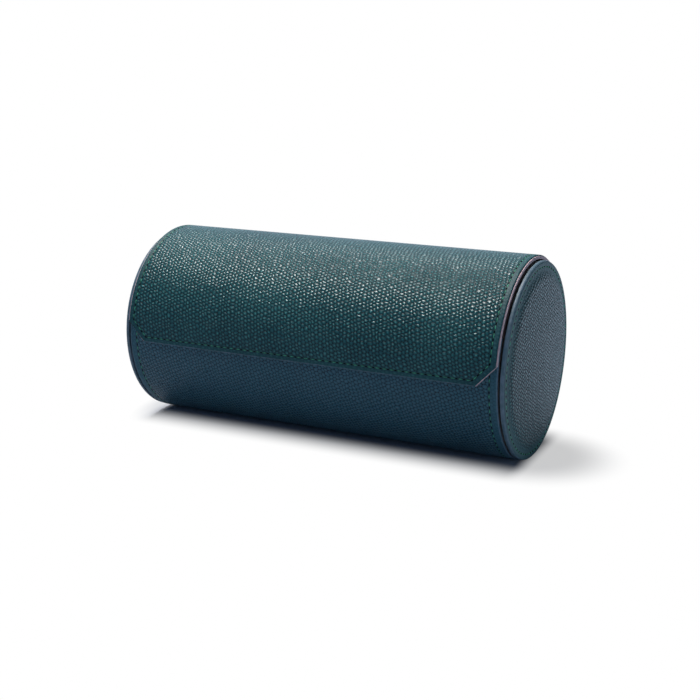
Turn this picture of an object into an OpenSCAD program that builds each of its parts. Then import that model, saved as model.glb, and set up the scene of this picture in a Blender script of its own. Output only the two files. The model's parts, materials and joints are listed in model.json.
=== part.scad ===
// Travel case for three watches: a leather-covered roll that lies on its side.
// The curved lid runs from its leather hinge at the back over the top and down the front.
// X runs along the case, the front faces -Y, and Z = 0 is the flat that the case rests on.
// Angles are read about the case's axis: 0 points to the front, 90 up and 180 to the back.

/* [Case] */
// Diameter of the body over its leather
case_d = 92.4; // [88:0.2:100]
// Length of the body over its leather, without the end caps
body_len = 190.8; // [170:0.2:230]
// Depth of the flat along the bottom
base_flat = 0.6; // [0.4:0.1:1.2]
// Angle of the body's front edge above the axis
front_edge_deg = 25.5; // [20:0.5:32]
// Angle of the body's back edge above the axis
back_edge_deg = 25.5; // [20:0.5:26]

/* [Wall layers] */
// Thickness of the leather on the body
leather_t = 0.8; // [0.6:0.1:1.2]
// Thickness of the thinner leather on the caps
cap_leather_t = 0.6; // [0.4:0.1:0.8]
// Thickness of the rigid board in the body's wall
board_t = 1.8; // [1.2:0.1:2.6]
// Thickness of the suede that lines the inside
suede_t = 0.6; // [0.4:0.1:1]

/* [End walls and caps] */
// Thickness of the board in each end wall
end_board_t = 2.8; // [2:0.1:4]
// Open groove between an end wall and its cap
cap_groove = 1; // [0.6:0.1:2]
// Depth of the groove, in from the cap's rim
groove_depth = 8; // [6:0.5:14]
// Gap round the disc that joins the cap to the end wall
spacer_gap = 0.2; // [0.1:0.1:0.6]
// How far the cap's rim stands in from the body's leather
cap_setback = 0.2; // [0.1:0.1:1]
// Thickness of the cap at its rim
cap_rim_t = 2; // [1.8:0.1:4]
// Rounding of the cap's outer edge
cap_edge_r = 1; // [0.8:0.1:1.1]
// Distance of the cap's stitched ring from its rim
cap_stitch_in = 2.7; // [2.5:0.1:5]
// Depth to which the thread draws the leather in
cap_stitch_dip = 0.3; // [0.1:0.1:0.5]
// Distance from the stitched ring to the foot of the pad
pad_foot_in = 1; // [0.6:0.1:3]
// Width of the slope round the pad
pad_slope_w = 5.3; // [3:0.1:12]
// Height of the pad at the top of its slope
pad_rise = 1.2; // [0.8:0.1:4]
// Further rise to the pad's middle
pad_crown = 0.9; // [0.2:0.1:3]

/* [Lid] */
// Running gap between the body's leather and the lid's lining
lid_gap = 0.3; // [0.2:0.1:0.8]
// Thickness of the lid's lining
lid_lining_t = 0.5; // [0.3:0.1:0.8]
// Thickness of the lid's board
lid_board_t = 0.8; // [0.7:0.1:1.6]
// Thickness of the lid's leather
lid_leather_t = 0.6; // [0.4:0.1:1]
// Width of the leather's turned edge round the board
turned_edge = 0.8; // [0.5:0.1:1.5]
// How far each side of the lid stands in from the body's end
lid_side_in = 0.6; // [0.4:0.05:3]
// Angle of the lid's front edge below the axis
lid_front_deg = 1.4; // [0:0.2:10]
// Length of the corner cuts along the case
corner_cut_x = 9; // [4:0.1:14]
// Height of the corner cuts round the case
corner_cut_y = 9.5; // [4:0.1:14]
// Angle of the hinge line above the axis, at the back
hinge_deg = 28; // [27:0.5:40]
// Slit between the lid and the back panel at the hinge line
hinge_slit = 0.3; // [0.2:0.1:1]
// Angle of the back panel's lower edge below the axis
panel_low_deg = 20; // [5:0.5:45]

/* [Closure] */
// Diameter of the hidden magnets
magnet_d = 8; // [6:0.5:10]
// Thickness of the magnets in the lid
lid_magnet_t = 0.5; // [0.4:0.05:0.55]
// Thickness of the magnets in the body
body_magnet_t = 1; // [0.8:0.05:1.1]
// Distance between the two magnets of a pair
magnet_spacing = 92; // [40:1:130]
// Angle of the magnets above the axis
magnet_deg = 11; // [8:0.5:15]
// Gap round a magnet in its pocket
magnet_gap = 0.1; // [0.05:0.05:0.3]

/* [Dividers] */
// Thickness of the board in each divider
divider_board_t = 1.8; // [1.2:0.1:3]
// Width of the tab by which a divider's board stands on the lining
divider_tab_w = 8; // [4:0.5:12]

/* [Cushions] */
// Depth of a cushion, from front to back
cushion_depth = 62; // [54:0.5:68]
// Height of a cushion
cushion_h = 56; // [48:0.5:64]
// Gap between a cushion and what stands beside it
cushion_side_gap = 3.4; // [1:0.1:8]
// Gap between a cushion and the lining under it
cushion_seat_gap = 0.3; // [0.2:0.1:1]
// Thickness of a cushion's padded cover
cover_t = 1.5; // [0.8:0.1:3]
// Bulge of a cushion's end panels
end_bulge = 3; // [1:0.5:6]
// How far the cover draws in at its two ends
draw_in = 2.4; // [0:0.1:4]

/* [Hidden] */

LEFT = -1;
MIDDLE = 0;
RIGHT = 1;
$fn = 180;

// Radii of the body's layers, from the outside in
case_r = case_d / 2;
board_r = case_r - leather_t;
lining_r = board_r - board_t;
trough_r = lining_r - suede_t;
axis_h = case_r - base_flat;
far = 2 * case_d;

// Places along the case, measured from its middle
body_half = body_len / 2;
end_suede_x = body_half - end_board_t - suede_t;
cap_x = body_half + cap_groove;

// The cap, with u measured outwards from its inner face
cap_r = case_r - cap_setback;
cap_board_r = cap_r - cap_leather_t;
cap_board_u = cap_rim_t - cap_leather_t;
cap_board_edge_r = cap_edge_r - cap_leather_t;
turn_in_r = cap_r - groove_depth;
stitch_r = cap_r - cap_stitch_in;
pad_foot_r = stitch_r - pad_foot_in;
pad_top_r = pad_foot_r - pad_slope_w;
ARC_STEPS = 8;
SLOPE_STEPS = 8;
CROWN_STEPS = 10;

// The lid's layers, from the inside out
lid_in_r = case_r + lid_gap;
lid_board_in_r = lid_in_r + lid_lining_t;
lid_board_out_r = lid_board_in_r + lid_board_t;
lid_r = lid_board_out_r + lid_leather_t;
lid_half = body_half - lid_side_in;
lid_front = -lid_front_deg;
hinge_at = 180 - hinge_deg;
slit_deg = arc_deg(hinge_slit, lid_r) / 2;
panel_end = 180 + panel_low_deg;
cut_deg = arc_deg(corner_cut_y, lid_r);

// The dividers share the length between the end walls into three
divider_t = divider_board_t + 2 * suede_t;
bay_w = (2 * end_suede_x - 2 * divider_t) / 3;
bay_pitch = bay_w + divider_t;

// The cushions
cushion_half = bay_w / 2 - cushion_side_gap;
band_half = cushion_half - end_bulge;
cushion_r = trough_r - cushion_seat_gap;
cushion_low = cushion_r - base_flat;
cushion_mid = cushion_h / 2 - cushion_low;
PILLOW = 2.3;
CUSHION_SIDES = 36;
BAND_RINGS = 8;
END_RINGS = 3;

LEATHER = [0.11, 0.24, 0.26];
CAP_LEATHER = [0.15, 0.27, 0.30];
SUEDE = [0.45, 0.36, 0.37];
BOARD = [0.62, 0.60, 0.55];
FOAM = [0.88, 0.86, 0.80];
STEEL = [0.72, 0.73, 0.75];

// The angle that an arc of this length takes at radius r
function arc_deg(length, r) = length / r * 180 / PI;

// ---- Sections, drawn with x to the front and y up ----

// A disc of radius r with the case's flat cut along its bottom
module section(r) {
  intersection() {
    circle(r);
    translate([-far, base_flat - r]) square([2 * far, 2 * far]);
  }
}

// The wedge between two angles
module sector(from_deg, to_deg) {
  steps = 6;
  polygon(concat([[0, 0]], [for (i = [0:steps])
    let (a = from_deg + (to_deg - from_deg) * i / steps) [far * cos(a), far * sin(a)]]));
}

// One layer of the body's wall, open at the top and shortened there by trim
module wall_section(outer_r, inner_r, trim = 0) {
  trim_deg = arc_deg(trim, board_r);
  difference() {
    section(outer_r);
    section(inner_r);
    sector(front_edge_deg - trim_deg, 180 - back_edge_deg + trim_deg);
  }
}

// Carries a section along the case, from x0 to x1
module along(x0, x1) {
  translate([(x0 + x1) / 2, 0, axis_h])
    rotate([90, 0, -90]) linear_extrude(x1 - x0, center = true) children();
}

// The same thing at the left or the right end
module at_end(side) {
  mirror([side == LEFT ? 1 : 0, 0, 0]) children();
}

// Turns a piece to an angle of the case: local z points outwards and local y uphill
module at_angle(deg) {
  translate([0, 0, axis_h]) rotate([90 - deg, 0, 0]) children();
}

// ---- Body ----

// Leather wrap, turned over the board at the front and back edges
module body_leather() {
  color(LEATHER) union() {
    along(-body_half, body_half) wall_section(case_r, board_r);
    along(-end_suede_x, end_suede_x) difference() {
      wall_section(case_r, lining_r);
      wall_section(board_r, lining_r, leather_t);
    }
  }
}

// Rigid board, with a pocket for each magnet
module body_board() {
  color(BOARD) difference() {
    along(-end_suede_x, end_suede_x) wall_section(board_r, lining_r, leather_t);
    magnet_places(body_magnet_seat) cylinder(h = board_t, d = magnet_d + 2 * magnet_gap);
  }
}

module body_lining() {
  color(SUEDE) along(-end_suede_x, end_suede_x) wall_section(lining_r, trough_r);
}

// ---- Magnets: flat discs let into the curved boards ----

// Distance of a disc's outer face from the axis, with its rim just under radius r
function flat_under(r) = sqrt(pow(r - magnet_gap, 2) - pow(magnet_d / 2, 2));
body_magnet_seat = flat_under(board_r) - body_magnet_t;
lid_magnet_seat = flat_under(lid_board_out_r) - lid_magnet_t;

module magnet_places(height) {
  at_angle(magnet_deg)
    for (side = [LEFT, RIGHT])
      translate([side * magnet_spacing / 2, 0, height]) children();
}

module body_magnets() {
  color(STEEL) magnet_places(body_magnet_seat) cylinder(h = body_magnet_t, d = magnet_d);
}

module lid_magnets() {
  color(STEEL) magnet_places(lid_magnet_seat) cylinder(h = lid_magnet_t, d = magnet_d);
}

// ---- End walls ----

// Board disc that closes the trough
module end_board(side) {
  color(BOARD) at_end(side) along(end_suede_x + suede_t, body_half) section(board_r - suede_t);
}

// Suede over the inner face and round the rim, which shows between the lid and the cap
module end_suede(side) {
  color(SUEDE) at_end(side) difference() {
    along(end_suede_x, body_half) section(board_r);
    along(end_suede_x + suede_t, body_half + 1) section(board_r - suede_t);
  }
}

// Disc between the end wall and the cap, set in so that a groove shows round it
module end_spacer(side) {
  color(BOARD) at_end(side)
    translate([body_half, 0, axis_h]) rotate([0, 90, 0])
      cylinder(h = cap_groove + cap_leather_t, r = turn_in_r - spacer_gap);
}

// ---- End caps ----

// Height of the padded face above the cap's inner face, at radius r
function pad_height(r) =
  r > pad_top_r ? cap_rim_t + pad_rise * slope_part((pad_foot_r - r) / pad_slope_w)
                : cap_rim_t + pad_rise + pad_crown * (1 - pow(r / pad_top_r, 2));
function slope_part(s) = s * s * (3 - 2 * s);

// Points of the padded face from its middle out to its foot, lowered by the leather's thickness
function pad_points(lowered) = concat(
  [for (i = [0:CROWN_STEPS]) let (r = pad_top_r * i / CROWN_STEPS) [r, pad_height(r) - lowered]],
  [for (i = [1:SLOPE_STEPS]) let (r = pad_top_r + pad_slope_w * i / SLOPE_STEPS)
    [r, pad_height(r) - lowered]]
);

// Points of a rounded outer edge at radius r and height u
function edge_points(r, u, round_r) = [for (i = [ARC_STEPS:-1:0]) let (a = 90 * i / ARC_STEPS)
  [r - round_r + round_r * cos(a), u - round_r + round_r * sin(a)]];

// Turns an outline of radius and height round the cap's axis
module cap_turn(outline) {
  translate([cap_x, 0, axis_h]) rotate([0, 90, 0]) rotate_extrude() polygon(outline);
}

// All that lies above the case's flat on a piece of radius r
module above_flat(r) {
  translate([0, -far, axis_h + base_flat - r]) cube(2 * far);
}

module cap_board_form() {
  intersection() {
    cap_turn(concat(
      [[0, cap_board_u]],
      edge_points(cap_board_r, cap_board_u, cap_board_edge_r),
      [[cap_board_r, cap_leather_t], [0, cap_leather_t]]
    ));
    above_flat(cap_board_r);
  }
}

// What the leather goes round: the board, the foam and the opening behind them
module cap_inside() {
  intersection() {
    cap_turn(concat(
      pad_points(cap_leather_t),
      edge_points(cap_board_r, cap_board_u, cap_board_edge_r),
      [[cap_board_r, cap_leather_t], [turn_in_r, cap_leather_t],
       [turn_in_r, -cap_leather_t], [0, -cap_leather_t]]
    ));
    above_flat(cap_board_r);
  }
}

module cap_outside() {
  cap_turn(concat(
    pad_points(0),
    [[stitch_r, cap_rim_t - cap_stitch_dip], [stitch_r + pad_foot_in / 2, cap_rim_t]],
    edge_points(cap_r, cap_rim_t, cap_edge_r),
    [[cap_r, 0], [0, 0]]
  ));
}

// Leather skin over the pad, round the rim and turned in behind
module cap_leather(side) {
  color(CAP_LEATHER) at_end(side) intersection() {
    difference() {
      cap_outside();
      cap_inside();
    }
    above_flat(cap_r);
  }
}

module cap_board(side) {
  color(BOARD) at_end(side) cap_board_form();
}

module cap_foam(side) {
  color(FOAM) at_end(side) cap_turn(concat(pad_points(cap_leather_t), [[0, cap_board_u]]));
}

// ---- Dividers ----

module divider_board_form(side) {
  middle = side * bay_pitch / 2;
  along(middle - divider_board_t / 2, middle + divider_board_t / 2) union() {
    section(trough_r - suede_t);
    translate([-divider_tab_w / 2, base_flat - trough_r]) square([divider_tab_w, 2 * suede_t]);
  }
}

module divider_board(side) {
  color(BOARD) divider_board_form(side);
}

module divider_suede(side) {
  middle = side * bay_pitch / 2;
  color(SUEDE) difference() {
    along(middle - divider_t / 2, middle + divider_t / 2) section(trough_r);
    divider_board_form(side);
  }
}

// ---- Lid and back panel ----

// A curved sheet between two radii and two angles, held in by trim on every edge
module sheet(inner_r, outer_r, from_deg, to_deg, trim = 0) {
  trim_deg = arc_deg(trim, lid_r);
  along(trim - lid_half, lid_half - trim) intersection() {
    difference() {
      circle(outer_r);
      circle(inner_r);
    }
    sector(from_deg + trim_deg, to_deg - trim_deg);
  }
}

// What the slanted cut takes off one front corner, moved in by trim
module corner_cut(side, trim) {
  rise = 2 * lid_r * sin(cut_deg / 2);
  depth = corner_cut_x + corner_cut_y;
  at_end(side) at_angle(lid_front + cut_deg / 2)
    translate([lid_half - corner_cut_x, -rise / 2, lid_in_r - depth / 2])
      rotate([0, 0, atan2(rise, corner_cut_x)])
        translate([-depth, trim - depth, 0]) cube([3 * depth, depth, depth]);
}

// A layer of the lid with its two front corners cut off
module lid_sheet(inner_r, outer_r, trim = 0) {
  difference() {
    sheet(inner_r, outer_r, lid_front, hinge_at - slit_deg, trim);
    corner_cut(LEFT, trim);
    corner_cut(RIGHT, trim);
  }
}

// Outer leather, turned over the board's edges all round
module lid_leather() {
  color(LEATHER) difference() {
    lid_sheet(lid_board_in_r, lid_r);
    lid_sheet(lid_board_in_r - 1, lid_board_out_r, turned_edge);
  }
}

module lid_board() {
  color(BOARD) difference() {
    lid_sheet(lid_board_in_r, lid_board_out_r, turned_edge);
    magnet_places(lid_in_r - magnet_d / 2) cylinder(h = magnet_d, d = magnet_d + 2 * magnet_gap);
  }
}

// Suede lining, which reaches the lid's edges and shows there
module lid_lining() {
  color(SUEDE) lid_sheet(lid_in_r, lid_board_in_r);
}

// The lid's leather goes on past the hinge as a panel on the body's back
module back_panel_leather() {
  color(LEATHER) difference() {
    sheet(case_r, lid_r, hinge_at + slit_deg, panel_end);
    sheet(case_r - 1, lid_board_out_r, hinge_at + slit_deg, panel_end, turned_edge);
  }
}

module back_panel_board() {
  color(BOARD) sheet(case_r, lid_board_out_r, hinge_at + slit_deg, panel_end, turned_edge);
}

// ---- Cushions ----

function pillow(v) = sign(v) * pow(abs(v), 2 / PILLOW);
function seated(p, r) = norm(p) > r ? p * r / norm(p) : p;

// One ring of a cushion at x, drawn in by inset and scaled by part about the cushion's middle
function cushion_ring(x, inset, part = 1) = [for (i = [0:CUSHION_SIDES - 1])
  let (a = 360 * i / CUSHION_SIDES,
       p = seated([part * (cushion_depth / 2 - inset) * pillow(cos(a)),
                   cushion_mid + part * (cushion_h / 2 - inset) * pillow(sin(a))],
                  cushion_r - inset))
  [x, p[0], axis_h + p[1]]];

// How far the cover is drawn in at this share of its half width
function band_draw(share) = draw_in * pow(abs(share), 3);

// Closes a row of rings into a solid, either looped back on itself or capped at both ends
module skin(rings, looped) {
  n = CUSHION_SIDES;
  m = len(rings);
  spans = looped ? m : m - 1;
  walls = [for (j = [0:spans - 1], i = [0:n - 1])
    let (k = (j + 1) % m, l = (i + 1) % n)
    each [[j * n + i, k * n + l, j * n + l], [j * n + i, k * n + i, k * n + l]]];
  caps = looped ? [] : [[for (i = [0:n - 1]) i], [for (i = [n - 1:-1:0]) (m - 1) * n + i]];
  polyhedron([for (ring = rings) each ring], concat(walls, caps));
}

// Puts one cushion in its bay
module in_bay(place) {
  translate([place * bay_pitch, 0, 0]) children();
}

// Foam core, as long as the cover
module cushion_foam(place) {
  inset = draw_in + cover_t;
  color(FOAM) in_bay(place)
    skin([cushion_ring(-band_half, inset), cushion_ring(band_half, inset)], false);
}

// Padded band round the core, fuller in the middle than at its ends
module cushion_cover(place) {
  outer = [for (j = [0:BAND_RINGS]) let (share = 2 * j / BAND_RINGS - 1)
    cushion_ring(share * band_half, band_draw(share))];
  inset = draw_in + cover_t;
  inner = [cushion_ring(band_half, inset), cushion_ring(-band_half, inset)];
  color(SUEDE) in_bay(place) skin(concat(outer, inner), true);
}

// The two domed end panels
module cushion_ends(place) {
  color(SUEDE) in_bay(place)
    for (side = [LEFT, RIGHT])
      at_end(side) skin([for (j = [0:END_RINGS - 1]) let (a = 90 * j / END_RINGS)
        cushion_ring(band_half + end_bulge * sin(a), draw_in, cos(a))], false);
}

body_leather();
body_board();
body_lining();
body_magnets();
end_board(LEFT);  // end_board_left
end_board(RIGHT);  // end_board_right
end_suede(LEFT);  // end_suede_left
end_suede(RIGHT);  // end_suede_right
end_spacer(LEFT);  // end_spacer_left
end_spacer(RIGHT);  // end_spacer_right
cap_board(LEFT);  // cap_board_left
cap_board(RIGHT);  // cap_board_right
cap_foam(LEFT);  // cap_foam_left
cap_foam(RIGHT);  // cap_foam_right
cap_leather(LEFT);  // cap_leather_left
cap_leather(RIGHT);  // cap_leather_right
divider_board(LEFT);  // divider_board_left
divider_board(RIGHT);  // divider_board_right
divider_suede(LEFT);  // divider_suede_left
divider_suede(RIGHT);  // divider_suede_right
back_panel_leather();
back_panel_board();
lid_leather();
lid_board();
lid_lining();
lid_magnets();
cushion_foam(LEFT);  // cushion_foam_left
cushion_foam(MIDDLE);  // cushion_foam_middle
cushion_foam(RIGHT);  // cushion_foam_right
cushion_cover(LEFT);  // cushion_cover_left
cushion_cover(MIDDLE);  // cushion_cover_middle
cushion_cover(RIGHT);  // cushion_cover_right
cushion_ends(LEFT);  // cushion_ends_left
cushion_ends(MIDDLE);  // cushion_ends_middle
cushion_ends(RIGHT);  // cushion_ends_right
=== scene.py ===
"""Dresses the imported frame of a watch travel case: leather, suede, stitching and cushions.

The case lies along X with its front towards -Y. Sheets are modelled flat, as they are cut, with x
along the case and z as the way round it. They are then rolled round the case's axis.
"""

import json
import math
from contextlib import contextmanager

import bpy
from bpy.props import FloatProperty, FloatVectorProperty, PointerProperty
from bpy.types import Operator, Panel, PropertyGroup
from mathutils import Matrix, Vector


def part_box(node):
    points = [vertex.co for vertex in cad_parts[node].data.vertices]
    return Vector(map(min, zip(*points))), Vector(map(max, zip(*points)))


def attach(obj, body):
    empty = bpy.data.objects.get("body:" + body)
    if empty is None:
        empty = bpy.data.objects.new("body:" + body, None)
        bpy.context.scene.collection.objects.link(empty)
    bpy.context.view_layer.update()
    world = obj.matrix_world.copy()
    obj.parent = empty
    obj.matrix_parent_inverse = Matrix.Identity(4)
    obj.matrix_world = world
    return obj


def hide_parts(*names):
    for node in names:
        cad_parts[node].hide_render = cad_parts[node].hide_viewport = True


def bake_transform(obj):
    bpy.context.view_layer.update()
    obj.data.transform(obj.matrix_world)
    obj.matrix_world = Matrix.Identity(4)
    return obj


bl_info = {
    "name": "Watch travel case",
    "version": (1, 0, 0),
    "blender": (4, 5, 0),
    "location": "3D View > Sidebar > Case",
    "description": "Leather, suede, stitching and cushions round the frame of a watch travel case",
    "category": "Object",
}

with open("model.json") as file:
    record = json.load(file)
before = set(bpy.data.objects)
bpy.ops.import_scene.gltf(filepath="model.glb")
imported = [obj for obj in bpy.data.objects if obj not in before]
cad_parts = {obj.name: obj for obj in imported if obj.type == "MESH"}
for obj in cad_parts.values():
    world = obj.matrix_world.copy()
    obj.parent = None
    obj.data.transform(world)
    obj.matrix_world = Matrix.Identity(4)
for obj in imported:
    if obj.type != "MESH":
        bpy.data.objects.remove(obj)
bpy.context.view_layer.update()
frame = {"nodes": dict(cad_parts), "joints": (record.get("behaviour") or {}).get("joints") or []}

LEFT = -1
RIGHT = 1
SIDES = {LEFT: "left", RIGHT: "right"}
PLACES = {-1: "left", 0: "middle", 1: "right"}
X, Y = range(2)
MM = 0.001
TINY = 0.02 * MM  # places on a sheet that are closer than this are the same place
SEAM_WING = 0.45 * MM  # width of the slope on each side of a seam
LEATHER_ROW, SUEDE_ROW = 1.4 * MM, 1.6 * MM  # heights of a flat sheet's rows of faces
CUT_EDGE = 0.25 * MM  # width of the faces along a suede sheet's cut edge
INNER_INSET = 1 * MM  # stands for the distance from the edge where no cut edge shows
FACING = 0.9  # a normal with this much of a direction in it faces that way
SHEET_COLUMNS, DISC_SIDES, CAP_SIDES = 12, 160, 180
FINE_SMOOTH = 80  # degrees up to which threads, holes and cushions are smoothed


# ---- What the frame gives ----


def half_span(node, axis):
    """Half of a node's size along one axis."""
    low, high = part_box(node)
    return (high[axis] - low[axis]) / 2


AXIS_H = sum(corner.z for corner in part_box("end_spacer_right")) / 2
CASE_R = half_span("body_leather", Y)
BOARD_R = half_span("end_suede_right", Y)
LINING_R = half_span("body_lining", Y)
TROUGH_R = half_span("divider_suede_right", Y)
BODY_HALF = half_span("body_leather", X)
TROUGH_HALF = half_span("body_lining", X)
LID_HALF = half_span("lid_leather", X)
LID_R = -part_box("lid_leather")[0].y
LID_BOARD_OUT_R = -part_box("lid_board")[0].y
LID_LINING_R = -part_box("lid_lining")[0].y
CAP_R = half_span("cap_leather_right", Y)
CAP_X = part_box("cap_leather_right")[0].x
CAP_TOP_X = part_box("cap_leather_right")[1].x
HINGE = Vector(next(joint for joint in frame["joints"] if joint["name"] == "lid_hinge")["pos_m"])
HINGE_ANGLE = math.atan2(HINGE.z - AXIS_H, -HINGE.y)
HINGE_Z = HINGE_ANGLE * LID_R  # the hinge line on the flat sheet
LID_FRONT = math.asin((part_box("lid_leather")[0].z - AXIS_H) / LID_R)
BODY_TOP = math.asin((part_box("body_leather")[1].z - AXIS_H) / CASE_R)
BAY_PITCH = 2 * half_span("cushion_cover_middle", X) + (
    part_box("cushion_cover_right")[0].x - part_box("cushion_cover_middle")[1].x)


def srgb(red, green, blue):
    """A colour written as 0 to 255 a channel, in the linear values that Blender keeps."""
    def linear(value):
        value /= 255
        return value / 12.92 if value <= 0.04045 else ((value + 0.055) / 1.055) ** 2.4
    return tuple(linear(value) for value in (red, green, blue))


# ---- Settings ----


def length(name, description, default):
    """A length that the panel shows and a user may change."""
    return FloatProperty(name=name, description=description, default=default, min=0,
                         precision=5, unit="LENGTH", subtype="DISTANCE")


def colour(name, description, default):
    """A colour that the panel shows and a user may change."""
    return FloatVectorProperty(name=name, description=description, default=default,
                               size=3, min=0, max=1, subtype="COLOR")


class CaseSizes(PropertyGroup):
    """Sizes of the covering, the stitching and the pads."""

    lid_leather: length("Lid leather", "Thickness of the lid's leather", LID_R - LID_BOARD_OUT_R)
    body_leather: length("Body leather", "Thickness of the leather on the body", CASE_R - BOARD_R)
    cap_leather: length("Cap leather", "Thickness of the leather on the caps", 0.6 * MM)
    lining: length("Lid lining", "Thickness of the lid's suede", 0.5 * MM)
    lining_lip: length("Lining lip", "How far the lid's suede stands out past its leather",
                       0.5 * MM)
    turned_edge: length("Turned edge", "Width of the leather turned over at an edge", 0.8 * MM)
    edge_round: length("Edge rounding", "Radius of the leather's turned edges", 0.35 * MM)
    corner_x: length("Corner cut, along", "Length of the lid's corner cuts along the case", 9 * MM)
    corner_z: length("Corner cut, round", "Length of the lid's corner cuts round the case",
                     9.5 * MM)
    panel_low: FloatProperty(
        name="Back panel", description="Angle of the panel's lower edge below the axis",
        default=math.radians(20), min=0, max=1, subtype="ANGLE", unit="ROTATION")
    hinge_slit: length("Hinge slit", "Gap between the boards of lid and panel", 0.3 * MM)
    hinge_reach: length("Hinge reach", "How far the leather bends on each side of the hinge",
                        4 * MM)
    stitch_in: length("Stitch line", "Distance of the stitching from the lid's edges", 2.6 * MM)
    body_stitch_in: length("Body stitch line", "Distance of the stitching from the body's ends",
                           3.7 * MM)
    stitch_pitch: length("Stitch pitch", "Distance from one needle hole to the next", 3.6 * MM)
    thread: length("Thread", "Diameter of the thread", 0.6 * MM)
    hole: length("Needle hole", "Width of a needle hole", 1.0 * MM)
    seam_dip: length("Seam dip", "How far the thread draws the leather in", 0.16 * MM)
    cap_rim: length("Cap rim", "Thickness of a cap at its rim", 2 * MM)
    cap_round: length("Cap rounding", "Radius of a cap's outer edge", 1 * MM)
    cap_turn_in: length("Cap turn-in", "Width of the leather turned in behind a cap", 8 * MM)
    cap_seam_in: length("Cap seam", "Distance of a cap's stitched ring from its rim", 2.7 * MM)
    cap_seam_dip: length("Cap seam dip", "How far a cap's thread draws the leather in", 0.12 * MM)
    pad_foot_in: length("Pad foot", "Distance of the pad's foot from the stitched ring", 1 * MM)
    pad_slope: length("Pad slope", "Width of the slope round a cap's pad", 5.3 * MM)
    pad_rise: length("Pad rise", "Height of a cap's pad at the top of its slope", 1.2 * MM)
    pebble_x: length("Pebble length", "Length of one pebble of the grain", 2.2 * MM)
    pebble_z: length("Pebble width", "Width of one pebble of the grain", 1.7 * MM)
    pebble_depth: length("Pebble depth", "Depth of the pits between the pebbles", 0.3 * MM)
    cushion_draw: length("Cushion draw", "How far a cushion's cover draws in at its seams",
                         2.4 * MM)
    cushion_seam: length("Cushion seam", "Depth of the seams round a cushion's ends", 0.9 * MM)


class CaseFinish(PropertyGroup):
    """Colours of the case's materials."""

    leather: colour("Leather", "Teal of the leather's pebbles", srgb(15, 75, 82))
    # Painted shade: this near-black goes into the pits between the pebbles and beside each seam,
    # where shade falls.
    crease_shade: colour("Creases", "Leather between the pebbles", srgb(1, 9, 13))
    # Painted highlight: the pebbles' tops are painted this paler teal to stand in for the light
    # they catch; the paler clouds use it too.
    tip_highlight: colour("Pebble tips", "Leather at the top of the pebbles", srgb(84, 154, 154))
    # Painted light: the body's leather is the lid's leather painted bluer, and its tips a bluer
    # painted highlight, standing in for the cool light that falls on the lower part of the case.
    body_leather: colour("Body leather", "Bluer dye of the body's leather", srgb(50, 99, 114))
    body_tip_highlight: colour("Body pebble tips", "Body leather at the top of the pebbles",
                     srgb(80, 122, 142))
    # Painted highlight: this pale bluish line along the turned edges stands in for the light that
    # their rounded edge catches; noise breaks it up.
    edge: colour("Worn edge", "Leather rubbed pale along an edge", srgb(104, 126, 146))
    suede: colour("Suede", "Mauve brown suede of the lining", srgb(84, 68, 68))
    # Partly painted highlight: suede's cut edge is paler, and this near-white makes it lighter
    # still, for the strong light that falls on it from the right.
    suede_edge: colour("Suede edge", "Turned edge of the lid's lining", srgb(238, 208, 214))
    thread: colour("Thread", "Emerald thread", srgb(66, 186, 146))
    hole: colour("Needle holes", "Shade inside the needle holes", srgb(3, 8, 9))
    board: colour("Board", "Grey card of the boards", srgb(150, 144, 132))
    foam: colour("Foam", "Foam under the pads", srgb(224, 219, 205))
    steel: colour("Magnets", "Plated magnets", srgb(186, 188, 192))
    floor: colour("Floor", "Grey of the white floor in shade", (0.37, 0.39, 0.45))


def case_settings(context):
    """The sizes and the colours that the scene is made with."""
    return context.scene.case_sizes, context.scene.case_finish


# ---- Mesh tools ----


def take_up(obj):
    """Makes this the one selected object."""
    if bpy.context.mode != "OBJECT":
        bpy.ops.object.mode_set(mode="OBJECT")
    bpy.ops.object.select_all(action="DESELECT")
    obj.select_set(True)
    bpy.context.view_layer.objects.active = obj


@contextmanager
def editing(obj):
    """Keeps an object in edit mode, with all of it selected at the start."""
    take_up(obj)
    bpy.ops.object.mode_set(mode="EDIT")
    bpy.ops.mesh.select_mode(type="VERT")
    bpy.ops.mesh.select_all(action="SELECT")
    yield
    bpy.ops.object.mode_set(mode="OBJECT")


def pick(obj, kind, test):
    """Selects, in edit mode, only the vertices, edges or faces that pass a test."""
    bpy.ops.mesh.select_mode(type=kind)
    bpy.ops.mesh.select_all(action="DESELECT")
    bpy.ops.object.mode_set(mode="OBJECT")
    mesh = obj.data
    for part in {"VERT": mesh.vertices, "EDGE": mesh.edges, "FACE": mesh.polygons}[kind]:
        part.select = test(part)
    bpy.ops.object.mode_set(mode="EDIT")


def added(primitive, location=(0, 0, 0), **settings):
    """Adds a primitive as the one selected object."""
    bpy.ops.object.select_all(action="DESELECT")
    primitive(location=location, **settings)
    return bpy.context.active_object


def apply_place():
    """Puts the place, turn and size of the selected object into its mesh."""
    bpy.ops.object.transform_apply(location=True, rotation=True, scale=True)


def finish_mesh(obj, name, smooth=35):
    """Names a piece, puts its place into its mesh and smooths its round faces."""
    take_up(obj)
    apply_place()
    bpy.ops.object.shade_smooth_by_angle(angle=math.radians(smooth))
    obj.name = name
    obj.data.name = name
    return obj


def apply_modifier(obj, kind, **settings):
    """Adds a modifier with these settings and applies it."""
    take_up(obj)
    bpy.ops.object.modifier_add(type=kind)
    modifier = obj.modifiers[-1]
    for setting, value in settings.items():
        setattr(modifier, setting, value)
    bpy.ops.object.modifier_apply(modifier=modifier.name)


def copy_of(obj):
    """A copy of an object with a mesh of its own."""
    take_up(obj)
    bpy.ops.object.duplicate(linked=False)
    return bpy.context.active_object


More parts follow.
